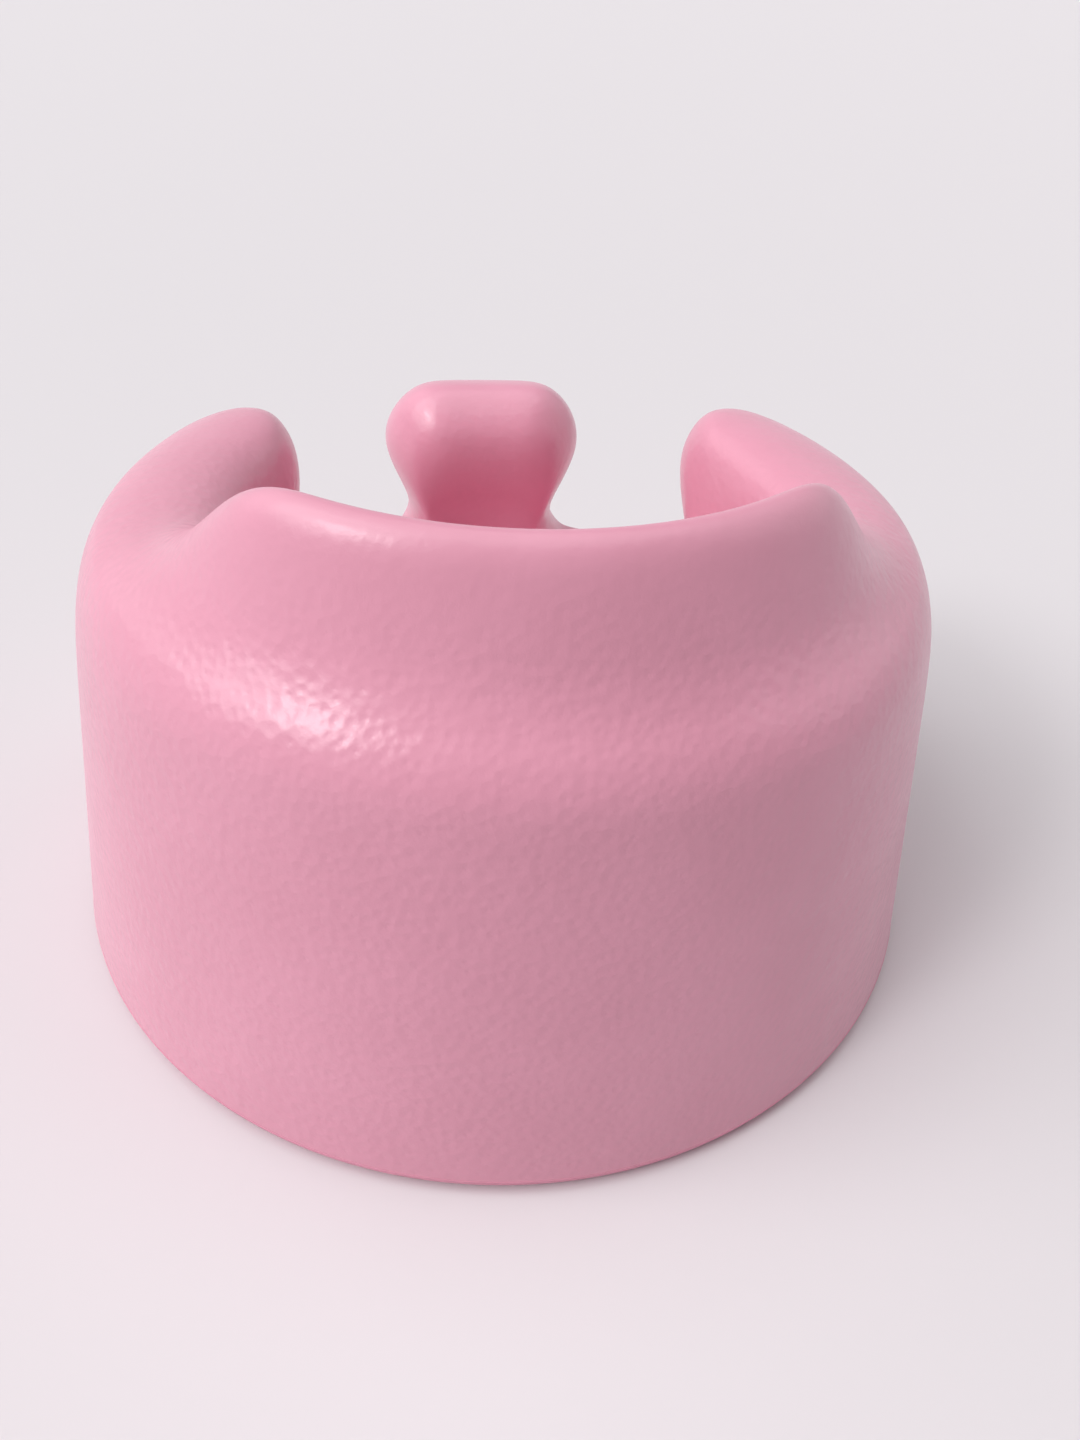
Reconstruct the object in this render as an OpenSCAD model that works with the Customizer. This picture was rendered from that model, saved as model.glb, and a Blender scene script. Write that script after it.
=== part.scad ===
// Baby floor seat: one round moulding of soft foam inside a coloured skin.
//
// A drum stands on its whole base. Behind, its rim rises over a concave scoop into the crest of
// the back rest, whose two ears fall to the arms. The arms run forward as one horseshoe and end
// in round tips. Between each tip and the pommel lies an opening for a leg, and inside is the
// bowl that the child sits in. The foam, the skin over it and the skin under it are separate.
//
// Frame: +Z is up, the child faces -Y, and the origin is the middle of the base, on the floor.
// An azimuth is measured about Z from the middle of the back (0) to the middle of the front (180).
// Both sides are alike.

/* [Drum] */
// Diameter of the drum just above its rounded bottom edge
base_d = 378; // [330:1:430]
// Loss of radius over 100 mm of height, which is the draft of the mould
wall_draft = 14; // [8:0.5:18]
// Radius of the bottom edge, which ends at the parting line of the two skins
edge_r = 8; // [5:0.5:14]

/* [Skins] */
// Thickness of the skin over the seat and of the skin under it
skin_t = 2; // [1:0.25:3]

/* [Back rest] */
// Height of the crest above the floor
back_h = 235; // [222:1:250]
// Radius of the middle of the crest, seen from above
crest_r = 125.5; // [121:0.5:131]
// Width of the top of the crest, before its rounding
crest_w = 13; // [10:1:20]
// Rounding of the two edges of the crest
crest_round = 14; // [8:1:18]
// Azimuth at which the crest starts to fall from the ear
ear_angle = 37; // [30:1:44]
// Azimuth that the ear takes to fall to the arm
ear_fall = 46; // [30:1:52]
// Height at which the back rest is hollowed most
lumbar_h = 150; // [140:1:165]
// Depth of that hollow behind the inner edge of the crest
lumbar_depth = 4.5; // [0:0.5:10]

/* [Shoulder and scoop] */
// Height at which the wall behind the back rest leans in as its shoulder
shoulder_h = 171; // [160:1:180]
// Rounding from the wall to the shoulder
shoulder_round = 15; // [8:1:24]
// Radius of the bottom of the scoop between the shoulder and the crest
scoop_r = 147; // [142:1:152]
// Rise of the bottom of the scoop over the foot of the shoulder
scoop_rise = 19; // [12:1:26]
// Rounding of the scoop
scoop_round = 14; // [8:1:20]

/* [Arms] */
// Height of the arm where it leaves the ear
arm_h = 185; // [174:1:196]
// Height of the arm at its tip
tip_h = 184; // [172:1:194]
// Radius of the middle of the arm's top, seen from above
arm_r = 131.5; // [126:0.5:138]
// Width of the arm's top, before its rounding
arm_top = 28; // [18:1:34]
// Drop from the arm's top to its outer shoulder
arm_drop = 12.5; // [8:0.5:20]
// Rounding of that shoulder
arm_round = 34; // [24:1:42]
// Radius of the arm's inner face
arm_inner_r = 105; // [98:1:110]
// Drop from the arm's top to its inner shoulder
arm_inner_drop = 15; // [8:1:22]
// Rounding of the inner shoulder
arm_inner_round = 22; // [12:1:28]
// Azimuth of the tip's face, at its foot
tip_angle = 122; // [114:1:126]
// Azimuth over which the arm's top rounds over and comes down to the leg opening
tip_len = 20; // [16:1:30]
// Angle by which the head of the tip leans out over the leg opening
tip_curl = 15; // [8:1:20]
// Angle by which the tip is drawn back at its outer and inner face
tip_nose = 19; // [4:1:22]

/* [Leg openings] */
// Height of the floor of each leg opening at the wall of the drum
leg_h = 80; // [74:1:92]
// Rounding of the outer edge of that floor
leg_round = 22; // [14:1:28]

/* [Pommel] */
// Height of the pommel between the legs
pommel_h = 173; // [162:0.5:184]
// Width of the pommel's top from front to back, before its rounding
pommel_top = 20; // [12:1:28]
// Drop from the pommel's top to its outer shoulder
pommel_drop = 12.5; // [8:0.5:20]
// Drop from the pommel's top to its inner shoulder
pommel_inner_drop = 26; // [18:1:32]
// Rounding of both shoulders
pommel_round = 24; // [14:1:28]
// Angle from the front to each flank of the pommel's neck
pommel_angle = 13; // [11.5:0.5:16]
// Azimuth over which the pommel's top rounds over and comes down to the leg opening
pommel_len = 14; // [9:0.5:17]
// Share by which the head of the pommel is wider than its neck
pommel_flare = 0.6; // [0.3:0.02:0.7]
// Angle by which the pommel is drawn in at its outer and inner face
pommel_nose = 4; // [1:0.5:5]
// Radius of the inner face of the pommel's head
pommel_inner_r = 109; // [102:1:116]
// Radius of the inner face of the pommel's neck
neck_inner_r = 126; // [118:1:132]
// Height of the slimmest place of the neck
neck_h = 96; // [90:1:112]

/* [Bowl] */
// Height of the floor of the bowl
seat_h = 66; // [56:1:68]
// Radius of the foot of the bowl's wall, before its rounding
seat_r = 98; // [90:1:101]
// Rounding between the floor and the wall of the bowl
seat_round = 34; // [20:1:38]

/* [Hidden] */

skin_colour = [0.90, 0.62, 0.70];
foam_colour = [0.93, 0.88, 0.74];

// Azimuths at which the face of a tip and the flank of the pommel start and end
tip_a0 = tip_angle - tip_len / 2;
tip_a1 = tip_angle + tip_len / 2;
pommel_a0 = 180 - pommel_angle - pommel_len / 2;
pommel_a1 = 180 - pommel_angle + pommel_len / 2;

// How much steeper the middle of such a face is than its ends, from 0 to 1
face_steepness = 0.8;
// Azimuth over which a lean or a draw fades out beyond a face
fade = 10;
// Azimuth over which the lean of a tip grows along the arm
lean_run = 22;
// Heights over the leg opening between which the lean of a tip and the flare of the pommel grow
lean_heights = [4, 84];
flare_heights = [14, 66];
// Share of the draw of a tip that is left at its foot
foot_nose = 0.3;
// Roundings of the tops, of the waist inside the rim, of the neck and of the leg openings' floor
top_round = 20;
waist_round = 30;
neck_round = 26;
floor_round = 20;
// Where the corners of a leg opening's floor lie between its inner and its outer edge, beside the
// tip and beside the pommel, whose neck they pass in front of
floor_shares = [[1, 1], [0.75, 0.9], [0.46, 0.78], [0.2, 0.62], [0, 0]];

// Columns of the surface on one side: steps along the back and the arm, round the tip, across
// the leg opening, round the pommel's flank and over its front
column_steps = [13, 10, 3, 8, 1];
// Rows: steps along the straight stretch after each corner of a section, and round each corner
straight_steps = [5, 1, 0, 0, 2, 1, 1];
corner_steps = [1, 4, 4, 4, 4, 3, 4, 1];
// Steps round the bottom edge of the foam, and facets of the true circles
edge_steps = 3;
circle_fn = 180;

function limit(x) = min(1, max(0, x));
function mix(a, b, t) = a + (b - a) * t;
function unit(v) = v / norm(v);
function ease(low, high, x) =
    let (t = limit((x - low) / (high - low)))
    t * t * (3 - 2 * t);
function steep(t) = t + face_steepness * sin(360 * t) / (2 * PI);
function wall_r(z) = base_d / 2 - wall_draft * (z - edge_r) / 100;

// A column is [azimuth, share of the leg opening, share of the pommel] in its section
columns = let (n = column_steps) concat(
    [for (i = [0 : n[0] - 1]) [tip_a0 * i / n[0], 0, 0]],
    [for (i = [0 : n[1] - 1]) [mix(tip_a0, tip_a1, steep(i / n[1])), ease(0, 1, i / n[1]), 0]],
    [for (i = [0 : n[2] - 1]) [mix(tip_a1, pommel_a0, i / n[2]), 1, 0]],
    [
        for (i = [0 : n[3] - 1])
            let (share = ease(0, 1, i / n[3]))
            [mix(pommel_a0, pommel_a1, steep(i / n[3])), 1 - share, share]
    ],
    [for (i = [0 : n[4]]) [mix(pommel_a1, 180, i / n[4]), 0, 1]]
);

// Four sections of the seat. Each corner is [radius, height, rounding], from the parting line
// over the shoulder, the scoop or the rim's outer edge, its inner edge, the inner shoulder, the
// waist and the foot of the bowl's wall to the middle of the bowl.
wall_foot = [wall_r(edge_r), edge_r, 0];
bowl_foot = [seat_r, seat_h, seat_round];
bowl_middle = [0, seat_h, 0];
back_section = [
    wall_foot,
    [wall_r(shoulder_h), shoulder_h, shoulder_round],
    [scoop_r, shoulder_h + scoop_rise, scoop_round],
    [crest_r + crest_w / 2, back_h, crest_round],
    [crest_r - crest_w / 2, back_h, crest_round],
    [crest_r - crest_w / 2 - lumbar_depth, lumbar_h, waist_round],
    bowl_foot,
    bowl_middle
];
function arm_section(h) = [
    wall_foot,
    [wall_r(h - arm_drop), h - arm_drop, arm_round],
    [arm_r + arm_top / 2, h, top_round],
    [arm_r - arm_top / 2, h, top_round],
    [arm_inner_r, h - arm_inner_drop, arm_inner_round],
    [arm_inner_r + 3, mix(seat_h, h, 0.5), waist_round],
    bowl_foot,
    bowl_middle
];
function leg_floor(share) = [
    mix(seat_r, wall_r(leg_h) - leg_round, share),
    mix(seat_h, leg_h, ease(0, 1, share)),
    floor_round
];
function leg_section(a) =
    let (near = ease(tip_a1, pommel_a0, a))
    concat(
        [wall_foot, [wall_r(leg_h), leg_h, leg_round]],
        [for (share = floor_shares) leg_floor(mix(share[0], share[1], near))],
        [bowl_middle]
    );
pommel_r = (pommel_inner_r + wall_r(pommel_h)) / 2;
pommel_section = [
    wall_foot,
    [wall_r(pommel_h - pommel_drop), pommel_h - pommel_drop, pommel_round],
    [pommel_r + pommel_top / 2, pommel_h, top_round],
    [pommel_r - pommel_top / 2, pommel_h, top_round],
    [pommel_inner_r, pommel_h - pommel_inner_drop, pommel_round],
    [neck_inner_r, neck_h, neck_round],
    [(seat_r + neck_inner_r) / 2, seat_h, seat_round],
    bowl_middle
];

// The section of a column is the weighted sum of the four
function section(column) =
    let (
        a = column[0],
        leg = column[1],
        pommel = column[2],
        back = (1 - ease(ear_angle, ear_angle + ear_fall, a)) * (1 - leg - pommel),
        ear_end = ear_angle + ear_fall,
        h = mix(arm_h, tip_h, limit((a - ear_end) / (tip_angle - ear_end)))
    )
    back * back_section + (1 - back - leg - pommel) * arm_section(h)
    + leg * leg_section(a) + pommel * pommel_section;

// End of the straight stretch that runs from corner k towards its neighbour at k + step
function trim(c, k, step) =
    let (
        span = [c[k + step][0] - c[k][0], c[k + step][1] - c[k][1]],
        length = max(0.001, norm(span))
    )
    [c[k][0], c[k][1]] + span / length * min(c[k][2], 0.49 * length);

// Rows: [corner, 0 to 1] round a corner, and [corner, 1 to 2] along the straight stretch after it
last_corner = len(back_section) - 1;
rows = [
    for (k = [0 : last_corner])
        let (
            corner = corner_steps[k],
            straight = k < last_corner ? straight_steps[k] : 0
        )
        each concat(
            [for (j = [0 : corner - 1]) [k, j / max(1, corner - 1)]],
            [for (j = [1 : 1 : straight]) [k, 1 + j / (straight + 1)]]
        )
];

// Point [radius, height] of a section in a row
function section_point(c, row) =
    let (k = row[0], t = row[1], corner = [c[k][0], c[k][1]])
    t > 1 ? mix(trim(c, k, 1), trim(c, k + 1, -1), t - 1)
    : k == 0 || k == last_corner ? corner
    : pow(1 - t, 2) * trim(c, k, -1) + 2 * t * (1 - t) * corner + t * t * trim(c, k, 1);

// How far an elliptical nose has drawn back at a radius, from 0 in the middle of the rim to 1 at
// its outer and inner face
function off_middle(r, z) =
    let (outer_r = wall_r(z), t = (2 * r - outer_r - arm_inner_r) / (outer_r - arm_inner_r))
    1 - sqrt(1 - pow(limit(abs(t)), 2));

// A point of the outer surface. The tips are drawn back and the pommel is drawn in towards their
// outer and inner faces, the heads of the tips lean forward, and the pommel's head spreads.
function surface_point(column, row) =
    let (
        a = column[0],
        p = section_point(section(column), row),
        after_tip = 1 - ease(tip_a1, tip_a1 + fade, a),
        at_tip = ease(tip_a0 - 5 * fade, tip_a0, a) * after_tip,
        at_flank = ease(pommel_a0 - fade, pommel_a0, a) * (1 - ease(pommel_a1 - 6, 180, a)),
        lift = ease(leg_h + lean_heights[0], leg_h + lean_heights[1], p[1]),
        nose = tip_nose * mix(foot_nose, 1, lift),
        draw = off_middle(p[0], p[1]) * (pommel_nose * at_flank - nose * at_tip),
        lean = tip_curl * ease(tip_a0 - lean_run, tip_a0 + 4, a) * after_tip,
        azimuth = a + draw + lean * lift,
        head = ease(leg_h + flare_heights[0], leg_h + flare_heights[1], p[1]),
        spread = 1 + pommel_flare * head * ease(pommel_a0 - fade, pommel_a0, a)
    )
    [p[0] * sin(azimuth) * spread, p[0] * cos(azimuth), p[1]];

// Whole rings of points: one side, then its mirror image from the front to the back again
ring_n = 2 * (len(columns) - 1);
function whole_ring(side) = concat(
    side,
    [for (i = [len(side) - 2 : -1 : 1]) [-side[i][0], side[i][1], side[i][2]]]
);
outer = [for (row = rows) whole_ring([for (column = columns) surface_point(column, row)])];

// The same surface moved inwards by a distance, square to itself
function inset(surface, t) = [
    for (i = [0 : len(surface) - 1]) [
        for (j = [0 : ring_n - 1])
            let (
                p = surface[i][j],
                along = surface[min(i + 1, len(surface) - 1)][j] - surface[max(i - 1, 0)][j],
                around = surface[i][(j + 1) % ring_n] - surface[i][(j + ring_n - 1) % ring_n]
            )
            i == 0 ? p - t * unit([p[0], p[1], 0])
            : i == len(surface) - 1 ? p - [0, 0, t]
            : p - t * unit(cross(along, around))
    ]
];
inner = inset(outer, skin_t);

// A sheet of rings that closes in one last point: its points, and its triangles with the first
// point numbered `first`, seen from outside or, turned over, from inside
function sheet_points(rings) = concat(
    [for (i = [0 : len(rings) - 2]) each rings[i]],
    [rings[len(rings) - 1][0]]
);
function turned(f, over) = over ? [f[0], f[2], f[1]] : f;
function sheet_faces(rings, first, over) =
    let (last_ring = len(rings) - 2, pole = first + (last_ring + 1) * ring_n)
    concat(
        [
            for (i = [0 : last_ring - 1], j = [0 : ring_n - 1])
                let (
                    a = first + i * ring_n + j,
                    b = first + i * ring_n + (j + 1) % ring_n,
                    c = a + ring_n,
                    d = b + ring_n
                )
                each [turned([a, d, c], over), turned([a, b, d], over)]
        ],
        [
            for (j = [0 : ring_n - 1])
                let (a = first + last_ring * ring_n + j, b = first + last_ring * ring_n + (j + 1) % ring_n)
                turned([a, b, pole], over)
        ]
    );

// Rings of the foam's rounded bottom edge, which lies inside the skin under it
edge_centre_r = wall_r(edge_r) - edge_r;
foam_edge = [
    for (i = [0 : edge_steps - 1])
        let (
            turn = 90 * (1 - i / edge_steps),
            r = edge_centre_r + (edge_r - skin_t) * cos(turn),
            z = edge_r - (edge_r - skin_t) * sin(turn)
        )
        [for (j = [0 : ring_n - 1]) concat(r * unit([outer[0][j][0], outer[0][j][1]]), [z])]
];

// The foam that fills the skins and carries the child
module foam_core() {
    rings = concat(foam_edge, inner);
    color(foam_colour)
        polyhedron(
            points = sheet_points(rings),
            faces = concat([[for (j = [ring_n - 1 : -1 : 0]) j]], sheet_faces(rings, 0, false)),
            convexity = 8
        );
}

// The coloured skin over the whole seat, down to the parting line
module body_skin() {
    under = len(sheet_points(outer));
    rim = [
        for (j = [0 : ring_n - 1])
            let (a = j, b = (j + 1) % ring_n, c = under + a, d = under + b)
            each [[a, c, d], [a, d, b]]
    ];
    color(skin_colour)
        polyhedron(
            points = concat(sheet_points(outer), sheet_points(inner)),
            faces = concat(sheet_faces(outer, 0, false), sheet_faces(inner, under, true), rim),
            convexity = 8
        );
}

// Half section of the base up to the parting line, drawn inwards by a distance
module base_section(inward, over) {
    translate([0, inward])
        square([edge_centre_r, edge_r - inward + over]);
    translate([edge_centre_r, edge_r])
        intersection() {
            circle(r = edge_r - inward, $fn = circle_fn);
            translate([0, inward - edge_r])
                square([edge_r - inward, edge_r - inward]);
        }
}

// The skin under the seat: a flat face on the floor inside a rounded edge
module base_skin() {
    color(skin_colour)
        rotate_extrude($fn = circle_fn)
            difference() {
                base_section(0, 0);
                base_section(skin_t, 1);
            }
}

foam_core();
body_skin();
base_skin();
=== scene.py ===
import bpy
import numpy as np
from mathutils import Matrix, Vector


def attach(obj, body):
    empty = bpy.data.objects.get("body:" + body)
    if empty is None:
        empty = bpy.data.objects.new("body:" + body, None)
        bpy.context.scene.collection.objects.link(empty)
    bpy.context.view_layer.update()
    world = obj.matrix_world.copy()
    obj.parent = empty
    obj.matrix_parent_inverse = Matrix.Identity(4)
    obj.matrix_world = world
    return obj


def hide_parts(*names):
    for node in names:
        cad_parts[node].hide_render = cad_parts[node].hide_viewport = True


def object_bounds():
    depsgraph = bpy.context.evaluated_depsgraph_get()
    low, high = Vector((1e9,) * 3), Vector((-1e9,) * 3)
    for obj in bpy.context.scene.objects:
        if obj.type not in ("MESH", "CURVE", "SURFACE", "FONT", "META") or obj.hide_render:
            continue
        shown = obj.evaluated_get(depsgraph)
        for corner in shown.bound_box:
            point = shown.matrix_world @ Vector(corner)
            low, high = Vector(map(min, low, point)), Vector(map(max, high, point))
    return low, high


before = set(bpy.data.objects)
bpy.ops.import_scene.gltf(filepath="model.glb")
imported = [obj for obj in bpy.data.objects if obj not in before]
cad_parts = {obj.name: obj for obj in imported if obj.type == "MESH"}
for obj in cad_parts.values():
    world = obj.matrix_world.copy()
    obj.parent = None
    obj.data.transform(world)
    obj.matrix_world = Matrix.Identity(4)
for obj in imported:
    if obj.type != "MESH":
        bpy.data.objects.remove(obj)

# Baby floor seat: one round moulding of soft foam inside a satin pink skin.
#
# The seat's surface is a loft. Each column of points stands at an azimuth, measured from the
# middle of the back (0) to the middle of the front (180) degrees, and follows a section that
# is the weighted sum of four: back rest, arm, leg opening and pommel. Sizes are in millimetres.

MM = 0.001
CAD_LOW, CAD_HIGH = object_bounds()

# Drum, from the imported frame, and its draft and bottom edge
BASE_R = CAD_HIGH.x / MM
BACK_H = CAD_HIGH.z / MM
WALL_DRAFT = 0.14
EDGE_R = 8
SKIN_T = 2

# Back rest, with its ears
CREST_R = 125.5
CREST_W = 13
CREST_ROUND = 14
EAR_ANGLE = 37
EAR_FALL = 46
LUMBAR_H = 150
LUMBAR_DEPTH = 4.5

# Shoulder and scoop
SHOULDER_H = 171
SHOULDER_ROUND = 15
SCOOP_R = 147
SCOOP_RISE = 19
SCOOP_ROUND = 14

# Arms and their tips
ARM_H = 185
TIP_H = 184
ARM_R = 131.5
ARM_TOP = 28
ARM_DROP = 12.5
ARM_ROUND = 34
ARM_INNER_R = 105
ARM_INNER_DROP = 15
ARM_INNER_ROUND = 22
TIP_ANGLE = 122
TIP_LEN = 20
TIP_CURL = 15
TIP_NOSE = 19

# Leg openings
LEG_H = 80
LEG_ROUND = 22
LEG_SHARES = ((1, 1), (0.75, 0.9), (0.46, 0.78), (0.2, 0.62), (0, 0))

# Pommel
POMMEL_H = 173
POMMEL_ANGLE = 13
POMMEL_LEN = 14
POMMEL_FLARE = 0.6
POMMEL_NOSE = 4
POMMEL_TOP = 20
POMMEL_DROP = 12.5
POMMEL_INNER_DROP = 26
POMMEL_INNER_R = 109
NECK_INNER_R = 126
NECK_H = 96
POMMEL_ROUND = 24

# Bowl
SEAT_H = 66
SEAT_R = 98
SEAT_ROUND = 34

# Roundings of the tops, of the waist inside the rim, of the neck and of the openings' floor, and
# how far the waist of the arm stands outside its inner face
TOP_ROUND = 20
WAIST_ROUND = 30
WAIST_OUT = 3
NECK_ROUND = 26
FLOOR_ROUND = 20

# How the faces of the tips and of the pommel's flanks are drawn: how much steeper their middle
# is, the azimuths over which a draw, a lean or a flare grows and fades, and the heights over
# the leg opening between which the lean and the flare grow
FACE_STEEPNESS = 0.8
FADE = 10
DRAW_RUN = 50
LEAN_RUN = 22
LEAN_PAST = 4
FLANK_FADE = 6
LEAN_HEIGHTS = (4, 84)
FLARE_HEIGHTS = (14, 66)

# Foot of the tips and of the pommel on the bowl's side: the share of a tip's draw that is left,
# the azimuth and the height over which its columns spread, the radii between which that fades,
# and the height over the leg opening at which a nose is a whole ellipse
FOOT_NOSE = 0.3
FOOT_SPREAD = 4
FOOT_RISE = 45
FOOT_RADII = (SEAT_R - 8, SEAT_R + 12)
NOSE_RISE = 10

# Cage: columns along the arm, round the tip, across the leg opening, round the pommel's flank
# and over its front; rows along the straight after each corner, round each corner, and just
# above the parting line; the share of a straight that one rounding may take; and how often the
# skin and the other pieces are refined
COLUMN_STEPS = (20, 14, 5, 12, 2)
STRAIGHT_STEPS = (7, 1, 1, 1, 2, 2, 2)
CORNER_STEPS = (1, 4, 4, 4, 4, 3, 4, 1)
RIM_ROWS = (0.3, 1.5)
ROUNDING_SHARE = 0.49
SKIN_LEVELS = 2
OTHER_LEVELS = 1

# Bottom edge: the turns of its rings in degrees, for the foam and for both sides of the
# underside's skin; the radii of the rings on the flat, and how far the last ones stay from the
# edge's rounding; the groove at the parting line, and how much the lip behind it is blunted,
# inwards and downwards
FOAM_TURNS = (90, 67, 45, 22)
OUTSIDE_TURNS = (8, 20, 35, 50, 65, 80)
INSIDE_TURNS = (80, 50, 20)
FLAT_RADII = (20, 60, 110, 150)
FLAT_MARGINS = (6, 1)
INNER_RADII = (120, 50, 20, 0)
INNER_MARGIN = 4
GROOVE = 0.12
LIP_BLUNT = (0.3, 0.5)

# Camera of the photograph: its place in metres, where it looks and its roll in degrees, and its
# focal length in pixels
CAMERA_AT = Vector((0.0476, 0.3930, 0.3817))
CAMERA_HEADING = 9.25
CAMERA_PITCH = 38.17
CAMERA_ROLL = 3.80
FOCAL_PX = 1102.3
PHOTO_H = 1440
SENSOR = 36.0

# Light: name, direction to the lamp, the angle that it fills in degrees, and its strength
LAMPS = (
    ("window", (0.71, 0.17, 0.68), 50, 1.68),
    ("pane", (0.70, 0.36, 0.62), 15, 0.62),
    ("ceiling", (0, 0, 1), 60, 1.10),
    ("door", (0.7, -0.4, 0.6), 50, 0.44),
    ("far_wall", (-0.8, -0.1, 0.5), 60, 0.48),
)
PALE = (0.80, 0.765, 0.785, 1)
ROOM_LIGHT = 0.05
FLOOR_HALF = 14.0
FLOOR_COLOUR = (0.75, 0.715, 0.74, 1)

# Looks: the darker and the lighter tone of each material, the part of a noise that is used, and
# how far the skin's roughness shifts down and up
SKIN_TONES = ((0.735, 0.310, 0.418), (0.785, 0.338, 0.455))
FOAM_TONES = ((0.70, 0.60, 0.38), (0.86, 0.80, 0.62))
NOISE_BAND = (0.3, 0.7)
ROUGHNESS_SHIFT = (-0.04, 0.05)

# Grain and coat. The photograph shows no grain on the crest and hardly any at the front. Each
# band, in metres, is the height or the depth over which the grain changes, and the pair after it
# is the strength at its lower or front end and at the other. The coat's roughness changes over
# the crest's band. It stays under 0.27, where the render would show a line.
CREST_BAND = (0.190, 0.232)
CREST_GRAIN = (0.55, 0.15)
FRONT_BAND = (-0.110, 0.040)
FRONT_GRAIN = (0.4, 1)
COAT_ROUGHNESS = (0.23, 0.268)


# ---------------------------------------------------------------- surface of the seat

def mix(a, b, t):
    return a + (b - a) * t


def ease(low, high, x):
    t = np.clip((x - low) / (high - low), 0, 1)
    return t * t * (3 - 2 * t)


def steep(t):
    return t + FACE_STEEPNESS * np.sin(2 * np.pi * t) / (2 * np.pi)


def wall_r(z):
    return BASE_R - WALL_DRAFT * (z - EDGE_R)


TIP_A0 = TIP_ANGLE - TIP_LEN / 2
TIP_A1 = TIP_ANGLE + TIP_LEN / 2
POMMEL_A0 = 180 - POMMEL_ANGLE - POMMEL_LEN / 2
POMMEL_A1 = 180 - POMMEL_ANGLE + POMMEL_LEN / 2


def make_columns():
    """Azimuth, share of the leg opening and share of the pommel of every column on one side."""
    along, tip, opening, flank, front = COLUMN_STEPS
    arm = [(TIP_A0 * i / along, 0, 0) for i in range(along)]
    face = [(mix(TIP_A0, TIP_A1, steep(i / tip)), ease(0, 1, i / tip), 0) for i in range(tip)]
    leg = [(mix(TIP_A1, POMMEL_A0, i / opening), 1, 0) for i in range(opening)]
    side = [(mix(POMMEL_A0, POMMEL_A1, steep(i / flank)), 1 - ease(0, 1, i / flank),
             ease(0, 1, i / flank)) for i in range(flank)]
    end = [(mix(POMMEL_A1, 180, i / front), 0, 1) for i in range(front + 1)]
    return np.array(arm + face + leg + side + end, float).T


AZIMUTH, LEG_SHARE, POMMEL_SHARE = make_columns()


def even_azimuth():
    """The columns again, spread evenly over the face of the tip and a little beyond it."""
    order = np.arange(len(AZIMUTH), dtype=float)
    marks = np.cumsum((0, *COLUMN_STEPS[:3]))
    spread = (0, TIP_A0 - FOOT_SPREAD, TIP_A1 + FOOT_SPREAD, POMMEL_A0)
    return np.where(order < marks[-1], np.interp(order, marks, spread), AZIMUTH)


EVEN_AZIMUTH = even_azimuth()


def section(corners):
    """Corners (radius, height, rounding), each a number or one value per column."""
    return np.array([[np.broadcast_to(v, AZIMUTH.shape) for v in corner] for corner in corners])


def back_section():
    outer_r = CREST_R + CREST_W / 2
    inner_r = CREST_R - CREST_W / 2
    return section([
        (wall_r(EDGE_R), EDGE_R, 0),
        (wall_r(SHOULDER_H), SHOULDER_H, SHOULDER_ROUND),
        (SCOOP_R, SHOULDER_H + SCOOP_RISE, SCOOP_ROUND),
        (outer_r, BACK_H, CREST_ROUND),
        (inner_r, BACK_H, CREST_ROUND),
        (inner_r - LUMBAR_DEPTH, LUMBAR_H, WAIST_ROUND),
        (SEAT_R, SEAT_H, SEAT_ROUND),
        (0, SEAT_H, 0),
    ])


def arm_section():
    ear_end = EAR_ANGLE + EAR_FALL
    h = mix(ARM_H, TIP_H, np.clip((AZIMUTH - ear_end) / (TIP_ANGLE - ear_end), 0, 1))
    return section([
        (wall_r(EDGE_R), EDGE_R, 0),
        (wall_r(h - ARM_DROP), h - ARM_DROP, ARM_ROUND),
        (ARM_R + ARM_TOP / 2, h, TOP_ROUND),
        (ARM_R - ARM_TOP / 2, h, TOP_ROUND),
        (ARM_INNER_R, h - ARM_INNER_DROP, ARM_INNER_ROUND),
        (ARM_INNER_R + WAIST_OUT, mix(SEAT_H, h, 0.5), WAIST_ROUND),
        (SEAT_R, SEAT_H, SEAT_ROUND),
        (0, SEAT_H, 0),
    ])


def leg_section():
    """The floor of the opening. Its points crowd together in front of the pommel's neck."""
    outer_r = wall_r(LEG_H) - LEG_ROUND
    near = ease(TIP_A1, POMMEL_A0, AZIMUTH)
    floor = []
    for at_tip, at_pommel in LEG_SHARES:
        t = mix(at_tip, at_pommel, near)
        height = mix(SEAT_H, LEG_H, ease(0, 1, t))
        floor.append((mix(SEAT_R, outer_r, t), height, FLOOR_ROUND))
    return section([
        (wall_r(EDGE_R), EDGE_R, 0),
        (wall_r(LEG_H), LEG_H, LEG_ROUND),
        *floor,
        (0, SEAT_H, 0),
    ])


def pommel_section():
    drop_h = POMMEL_H - POMMEL_DROP
    middle_r = (POMMEL_INNER_R + wall_r(POMMEL_H)) / 2
    return section([
        (wall_r(EDGE_R), EDGE_R, 0),
        (wall_r(drop_h), drop_h, POMMEL_ROUND),
        (middle_r + POMMEL_TOP / 2, POMMEL_H, TOP_ROUND),
        (middle_r - POMMEL_TOP / 2, POMMEL_H, TOP_ROUND),
        (POMMEL_INNER_R, POMMEL_H - POMMEL_INNER_DROP, POMMEL_ROUND),
        (NECK_INNER_R, NECK_H, NECK_ROUND),
        ((SEAT_R + NECK_INNER_R) / 2, SEAT_H, SEAT_ROUND),
        (0, SEAT_H, 0),
    ])


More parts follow.
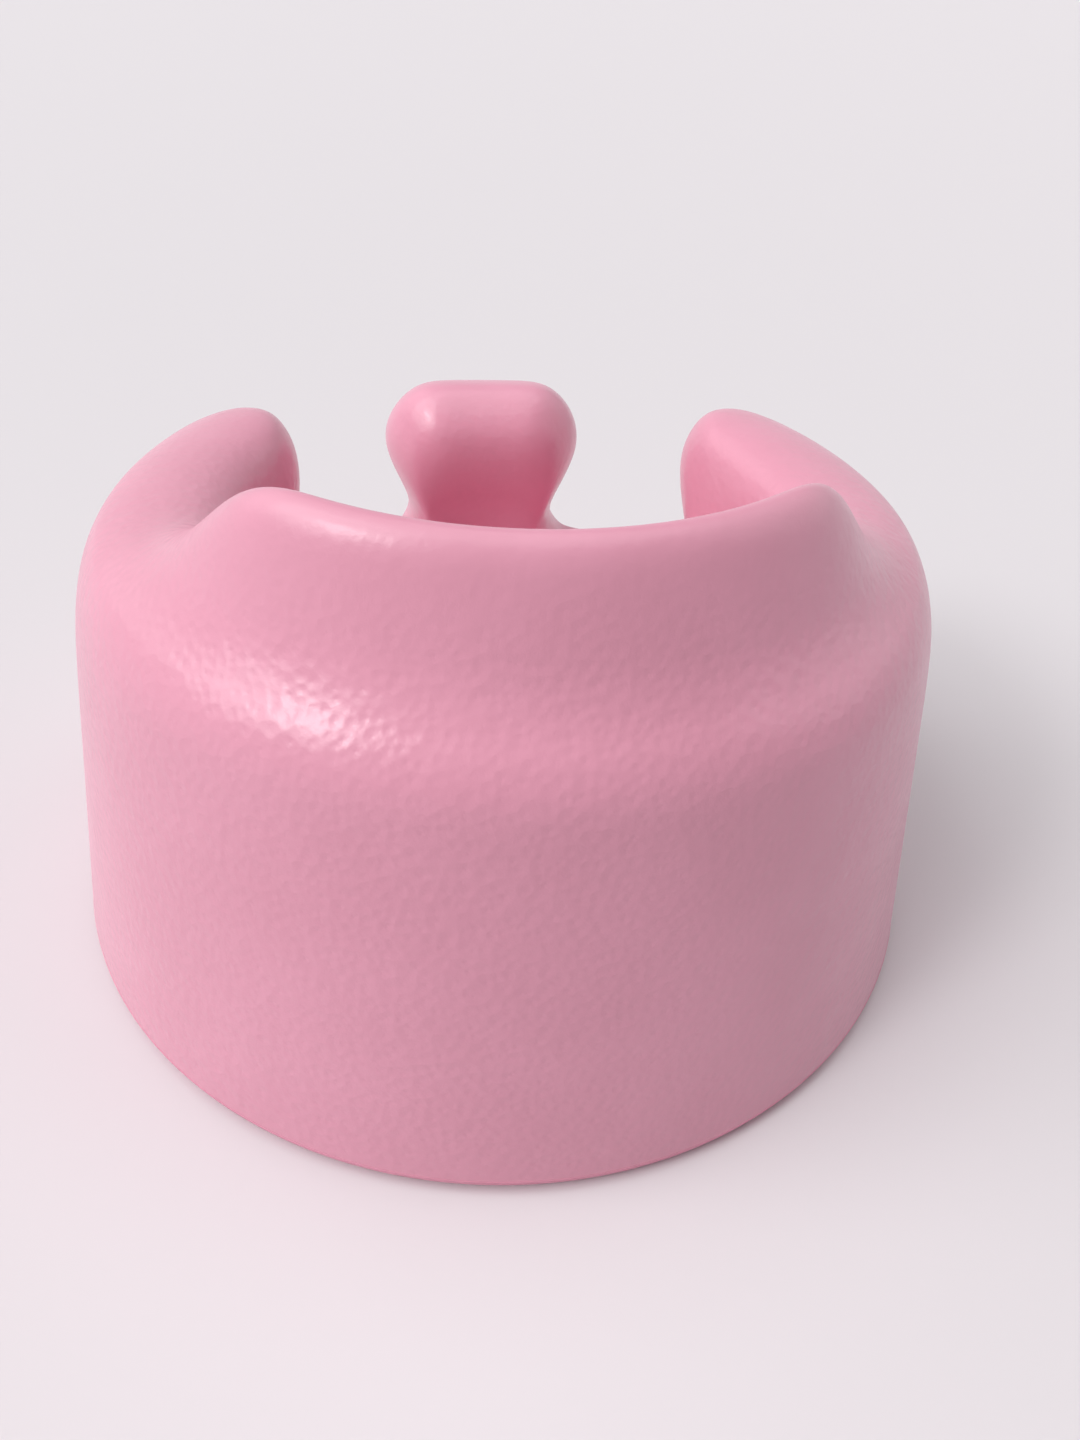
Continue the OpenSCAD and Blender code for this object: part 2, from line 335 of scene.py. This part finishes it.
def blended_corners():
    back = (1 - ease(EAR_ANGLE, EAR_ANGLE + EAR_FALL, AZIMUTH)) * (1 - LEG_SHARE - POMMEL_SHARE)
    arm = 1 - back - LEG_SHARE - POMMEL_SHARE
    return (back * back_section() + arm * arm_section()
            + LEG_SHARE * leg_section() + POMMEL_SHARE * pommel_section())


def trim(corners, k, step):
    """Where the straight stretch from corner k towards its neighbour leaves the rounding."""
    point = corners[k, :2]
    span = corners[k + step, :2] - point
    length = np.maximum(0.001, np.hypot(*span))
    return point + span / length * np.minimum(corners[k, 2], ROUNDING_SHARE * length)


def section_rows(corners):
    """Radius and height of every row of the cage, from the parting line to the bowl's middle."""
    rows = []
    last = len(corners) - 1
    for k in range(last + 1):
        steps = CORNER_STEPS[k]
        for j in range(steps):
            t = (j + 0.5) / steps
            if k in (0, last):
                rows.append(corners[k, :2])
                continue
            before, after = trim(corners, k, -1), trim(corners, k, 1)
            rows.append((1 - t) ** 2 * before + 2 * t * (1 - t) * corners[k, :2] + t * t * after)
        if k == 0:
            low, high = corners[0, :2], trim(corners, 1, -1)
            rows += [low + (high - low) * d / (high[1] - low[1]) for d in RIM_ROWS]
        for j in range(STRAIGHT_STEPS[k] if k < last else 0):
            t = (j + 1) / (STRAIGHT_STEPS[k] + 1)
            rows.append(mix(trim(corners, k, 1), trim(corners, k + 1, -1), t))
    return rows


def off_middle(r, z):
    """How far a nose has drawn back: 0 in the rim's middle, 1 at either face.

    The nose is an ellipse, which turns into a parabola where it runs out on the bowl's floor.
    """
    outer_r = wall_r(z)
    t = np.clip(np.abs((2 * r - outer_r - ARM_INNER_R) / (outer_r - ARM_INNER_R)), 0, 1)
    return mix(t * t, 1 - np.sqrt(1 - t * t), ease(SEAT_H, LEG_H + NOSE_RISE, z))


def place_row(r, z):
    """Points of one row: tips drawn back and leaning out, pommel drawn in and spreading."""
    a = AZIMUTH
    foot = (1 - ease(SEAT_H, SEAT_H + FOOT_RISE, z)) * (1 - ease(*FOOT_RADII, r))
    spread_out = foot * (EVEN_AZIMUTH - AZIMUTH)
    after_tip = 1 - ease(TIP_A1, TIP_A1 + FADE, a)
    before_flank = ease(POMMEL_A0 - FADE, POMMEL_A0, a)
    at_tip = ease(TIP_A0 - DRAW_RUN, TIP_A0, a) * after_tip
    at_flank = before_flank * (1 - ease(POMMEL_A1 - FLANK_FADE, 180, a))
    lift = ease(LEG_H + LEAN_HEIGHTS[0], LEG_H + LEAN_HEIGHTS[1], z)
    nose = TIP_NOSE * mix(FOOT_NOSE, 1, lift)
    draw = off_middle(r, z) * (POMMEL_NOSE * at_flank - nose * at_tip)
    lean = TIP_CURL * ease(TIP_A0 - LEAN_RUN, TIP_A0 + LEAN_PAST, a) * after_tip
    turn = np.radians(a + spread_out + draw + lean * lift)
    head = ease(LEG_H + FLARE_HEIGHTS[0], LEG_H + FLARE_HEIGHTS[1], z)
    spread = 1 + POMMEL_FLARE * head * before_flank
    return np.stack([r * np.sin(turn) * spread, r * np.cos(turn), z], -1)


def whole_ring(side):
    """One side's points and their mirror image, from the front round to the back again."""
    return np.concatenate([side, side[-2:0:-1] * (-1, 1, 1)])


def seat_rings():
    return [whole_ring(place_row(r, z)) for r, z in section_rows(blended_corners())]


# ---------------------------------------------------------------- meshes

def ring_mesh(name, rings, close_start=False):
    """A sheet of rings whose last ring closes in one point, and whose first may close too."""
    n = len(rings[0])
    points = [p for ring in rings[:-1] for p in ring] + [rings[-1][0]]
    faces = []
    for i in range(len(rings) - 2):
        for j in range(n):
            a, b = i * n + j, i * n + (j + 1) % n
            faces.append((a, a + n, b + n, b))
    top = (len(rings) - 2) * n
    faces += [(top + (j + 1) % n, top + j, len(points) - 1) for j in range(n)]
    if close_start:
        faces += [(len(points), j, (j + 1) % n) for j in range(n)]
        points.append(np.mean(rings[0], axis=0))
    mesh = bpy.data.meshes.new(name)
    mesh.from_pydata([tuple(p * MM) for p in points], [], faces)
    mesh.validate()
    mesh.shade_smooth()
    obj = bpy.data.objects.new(name, mesh)
    bpy.context.scene.collection.objects.link(obj)
    return obj


def refine(obj, levels):
    fine = obj.modifiers.new("fine", "SUBSURF")
    fine.levels = levels
    fine.render_levels = levels


def inset_rings(rings, depth):
    """The rings moved inwards, square to the surface."""
    grid = np.array(rings)
    along = np.gradient(grid, axis=0)
    around = np.roll(grid, -1, axis=1) - np.roll(grid, 1, axis=1)
    normal = np.cross(along, around)
    normal /= np.linalg.norm(normal, axis=-1, keepdims=True) + 1e-9
    flat = grid[0] * (1, 1, 0)
    normal[0] = flat / np.linalg.norm(flat, axis=-1, keepdims=True)
    normal[-1] = (0, 0, 1)
    return list(grid - depth * normal)


def circle_ring(count, r, z):
    t = np.linspace(0, 2 * np.pi, count, endpoint=False)
    return np.stack([r * np.sin(t), r * np.cos(t), np.full(count, float(z))], -1)


def make_skin(rings):
    skin = ring_mesh("skin", rings)
    shell = skin.modifiers.new("thickness", "SOLIDIFY")
    shell.thickness = SKIN_T * MM
    shell.offset = -1
    shell.edge_crease_inner = 1
    shell.edge_crease_outer = 1
    refine(skin, SKIN_LEVELS)
    return skin


def make_foam(rings):
    inner = inset_rings(rings, SKIN_T)
    first = inner[0]
    count = len(first)
    centre_r = wall_r(EDGE_R) - EDGE_R
    arc = EDGE_R - SKIN_T
    heading = first[:, :2] / np.linalg.norm(first[:, :2], axis=1, keepdims=True)
    edge = []
    for turn in np.radians(FOAM_TURNS):
        r = centre_r + arc * np.cos(turn)
        z = EDGE_R - arc * np.sin(turn)
        edge.append(np.concatenate([heading * r, np.full((count, 1), z)], axis=1))
    foam = ring_mesh("foam", edge + inner, close_start=True)
    refine(foam, OTHER_LEVELS)
    return foam


def edge_arc(centre_r, radius, turns):
    """Points round the bottom edge, each at its turn in degrees from straight below."""
    return [(centre_r + radius * np.sin(t), EDGE_R - radius * np.cos(t)) for t in np.radians(turns)]


def make_underside(count):
    """The skin under the seat, with its rounded edge and a fine groove at the parting line."""
    centre_r = wall_r(EDGE_R) - EDGE_R
    lip_r = BASE_R - SKIN_T
    profile = [(r, 0) for r in (*FLAT_RADII, *(centre_r - margin for margin in FLAT_MARGINS))]
    profile += edge_arc(centre_r, EDGE_R, OUTSIDE_TURNS)
    profile += [(BASE_R, EDGE_R - 10 * GROOVE), (BASE_R, EDGE_R - 2 * GROOVE)]
    profile += [(BASE_R - 0.2 * GROOVE, EDGE_R - GROOVE), (BASE_R - GROOVE, EDGE_R)]
    profile += [(lip_r + LIP_BLUNT[0], EDGE_R), (lip_r, EDGE_R - LIP_BLUNT[1])]
    profile += edge_arc(centre_r, EDGE_R - SKIN_T, INSIDE_TURNS)
    profile += [(r, SKIN_T) for r in (centre_r - INNER_MARGIN, *INNER_RADII)]
    rings = [circle_ring(count, r, z) for r, z in profile]
    underside = ring_mesh("underside", rings, close_start=True)
    refine(underside, OTHER_LEVELS)
    return underside


# ---------------------------------------------------------------- materials

def new_material(name):
    material = bpy.data.materials.new(name)
    material.use_nodes = True
    nodes = material.node_tree.nodes
    return material, nodes, material.node_tree.links, nodes["Principled BSDF"]


def noise(nodes, links, place, scale, detail=2.0, roughness=0.5):
    node = nodes.new("ShaderNodeTexNoise")
    node.inputs["Scale"].default_value = scale
    node.inputs["Detail"].default_value = detail
    node.inputs["Roughness"].default_value = roughness
    links.new(place.outputs["Object"], node.inputs["Vector"])
    return node


def remap(nodes, links, source, band, to_band):
    """The source, smoothly remapped from one band of values to another."""
    node = nodes.new("ShaderNodeMapRange")
    node.interpolation_type = "SMOOTHSTEP"
    node.inputs["From Min"].default_value = band[0]
    node.inputs["From Max"].default_value = band[1]
    node.inputs["To Min"].default_value = to_band[0]
    node.inputs["To Max"].default_value = to_band[1]
    links.new(source, node.inputs["Value"])
    return node.outputs["Result"]


def combine(nodes, links, operation, first, second):
    node = nodes.new("ShaderNodeMath")
    node.operation = operation
    links.new(first, node.inputs[0])
    links.new(second, node.inputs[1])
    return node.outputs["Value"]


def bump(nodes, links, height, distance, strength, under=None):
    """Relief on the normal under it. Its strength is a number or another node's output."""
    node = nodes.new("ShaderNodeBump")
    node.inputs["Distance"].default_value = distance
    if isinstance(strength, bpy.types.NodeSocket):
        links.new(strength, node.inputs["Strength"])
    else:
        node.inputs["Strength"].default_value = strength
    links.new(height, node.inputs["Height"])
    if under is not None:
        links.new(under, node.inputs["Normal"])
    return node.outputs["Normal"]


def two_tone(nodes, links, factor, dark, light):
    ramp = nodes.new("ShaderNodeValToRGB")
    ramp.color_ramp.elements[0].color = (*dark, 1)
    ramp.color_ramp.elements[1].color = (*light, 1)
    links.new(factor, ramp.inputs["Fac"])
    return ramp.outputs["Color"]


def grain_strength(nodes, links, along, grain):
    """Strength of the pebbled grain, which fades towards the crest and towards the front."""
    rising = remap(nodes, links, along.outputs["Z"], CREST_BAND, [grain * g for g in CREST_GRAIN])
    backward = remap(nodes, links, along.outputs["Y"], FRONT_BAND, FRONT_GRAIN)
    return combine(nodes, links, "MULTIPLY", rising, backward)


def skin_material(name, roughness, gloss, grain):
    """Satin coating with slow shifts of tone, an orange-peel ripple and a fine pebbled grain."""
    material, nodes, links, shader = new_material(name)
    place = nodes.new("ShaderNodeTexCoord")
    along = nodes.new("ShaderNodeSeparateXYZ")
    links.new(place.outputs["Object"], along.inputs["Vector"])

    tone = noise(nodes, links, place, scale=11, detail=3, roughness=0.55)
    factor = remap(nodes, links, tone.outputs["Fac"], NOISE_BAND, (0, 1))
    links.new(two_tone(nodes, links, factor, *SKIN_TONES), shader.inputs["Base Color"])

    patch = noise(nodes, links, place, scale=55, detail=3, roughness=0.6)
    shifted = [roughness + shift for shift in ROUGHNESS_SHIFT]
    links.new(remap(nodes, links, patch.outputs["Fac"], NOISE_BAND, shifted),
              shader.inputs["Roughness"])
    shader.inputs["Specular IOR Level"].default_value = 0.25
    shader.inputs["Coat Weight"].default_value = gloss
    links.new(remap(nodes, links, along.outputs["Z"], CREST_BAND, COAT_ROUGHNESS),
              shader.inputs["Coat Roughness"])

    ripple = noise(nodes, links, place, scale=120)
    pebble = nodes.new("ShaderNodeTexVoronoi")
    pebble.feature = "SMOOTH_F1"
    pebble.inputs["Scale"].default_value = 270
    pebble.inputs["Smoothness"].default_value = 0.6
    links.new(place.outputs["Object"], pebble.inputs["Vector"])
    fine = noise(nodes, links, place, scale=900)
    normal = bump(nodes, links, ripple.outputs["Fac"], distance=0.0003, strength=0.5 * grain)
    normal = bump(nodes, links, pebble.outputs["Distance"], distance=0.0005,
                  strength=grain_strength(nodes, links, along, grain), under=normal)
    normal = bump(nodes, links, fine.outputs["Fac"], distance=0.0001,
                  strength=0.4 * grain, under=normal)
    links.new(normal, shader.inputs["Normal"])
    links.new(normal, shader.inputs["Coat Normal"])
    return material


def foam_material():
    """Cream open-celled foam."""
    material, nodes, links, shader = new_material("foam")
    place = nodes.new("ShaderNodeTexCoord")
    cells = nodes.new("ShaderNodeTexVoronoi")
    cells.inputs["Scale"].default_value = 900
    links.new(place.outputs["Object"], cells.inputs["Vector"])
    tone = noise(nodes, links, place, scale=60, detail=4, roughness=0.6)
    colour = two_tone(nodes, links, tone.outputs["Fac"], *FOAM_TONES)
    links.new(colour, shader.inputs["Base Color"])
    shader.inputs["Roughness"].default_value = 0.95
    normal = bump(nodes, links, cells.outputs["Distance"], distance=0.0006, strength=0.9)
    links.new(normal, shader.inputs["Normal"])
    return material


# ---------------------------------------------------------------- pieces

def dress(obj, material, node):
    obj.data.materials.append(material)
    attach(obj, "root")
    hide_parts(node)


RINGS = seat_rings()
FOAM = foam_material()
SATIN = skin_material("satin_skin", roughness=0.5, gloss=0.7, grain=1.0)
MATT = skin_material("matt_skin", roughness=0.6, gloss=0.0, grain=0.7)
dress(make_foam(RINGS), FOAM, "foam_core")
dress(make_skin(RINGS), SATIN, "body_skin")
dress(make_underside(len(RINGS[0])), MATT, "base_skin")


# ---------------------------------------------------------------- camera, floor and light

def make_camera():
    heading, pitch, roll = np.radians((CAMERA_HEADING, CAMERA_PITCH, CAMERA_ROLL))
    ahead = Vector((-np.sin(heading), -np.cos(heading), 0))
    right = Vector((-np.cos(heading), np.sin(heading), 0))
    up = Vector((0, 0, 1))
    forward = np.cos(pitch) * ahead - np.sin(pitch) * up
    level_up = np.sin(pitch) * ahead + np.cos(pitch) * up
    x = np.cos(roll) * right + np.sin(roll) * level_up
    y = np.cos(roll) * level_up - np.sin(roll) * right
    data = bpy.data.cameras.new("camera")
    data.sensor_width = SENSOR
    data.lens = FOCAL_PX * SENSOR / PHOTO_H
    data.clip_start = 0.01
    camera = bpy.data.objects.new("camera", data)
    turn = Matrix((x, y, -forward)).transposed().to_4x4()
    camera.matrix_world = Matrix.Translation(CAMERA_AT) @ turn
    bpy.context.scene.collection.objects.link(camera)
    bpy.context.scene.camera = camera


def make_floor():
    mesh = bpy.data.meshes.new("floor")
    corners = [(x * FLOOR_HALF, y * FLOOR_HALF, 0) for x, y in ((-1, -1), (1, -1), (1, 1), (-1, 1))]
    mesh.from_pydata(corners, [], [(0, 1, 2, 3)])
    floor = bpy.data.objects.new("floor", mesh)
    bpy.context.scene.collection.objects.link(floor)
    material, _, _, shader = new_material("floor")
    shader.inputs["Base Color"].default_value = FLOOR_COLOUR
    shader.inputs["Roughness"].default_value = 0.6
    mesh.materials.append(material)


def make_lamp(name, towards, spread, strength):
    """A distant soft lamp: the direction to it, the angle that it fills and its strength."""
    data = bpy.data.lights.new(name, "SUN")
    data.angle = np.radians(spread)
    data.energy = strength
    lamp = bpy.data.objects.new(name, data)
    lamp.rotation_euler = (-Vector(towards)).to_track_quat("-Z", "Y").to_euler()
    bpy.context.scene.collection.objects.link(lamp)


def make_world():
    """A dim room that the camera, gloss and glass see as a pale one."""
    world = bpy.data.worlds.new("world")
    bpy.context.scene.world = world
    world.use_nodes = True
    nodes, links = world.node_tree.nodes, world.node_tree.links
    background = nodes["Background"]
    background.inputs["Color"].default_value = PALE
    path = nodes.new("ShaderNodeLightPath")
    seen = path.outputs["Is Camera Ray"]
    for kind in ("Is Glossy Ray", "Is Transmission Ray"):
        seen = combine(nodes, links, "MAXIMUM", seen, path.outputs[kind])
    links.new(remap(nodes, links, seen, (0, 1), (ROOM_LIGHT, 1)), background.inputs["Strength"])


make_camera()
make_floor()
make_world()
for lamp in LAMPS:
    make_lamp(*lamp)

bpy.context.scene.view_settings.view_transform = "Standard"
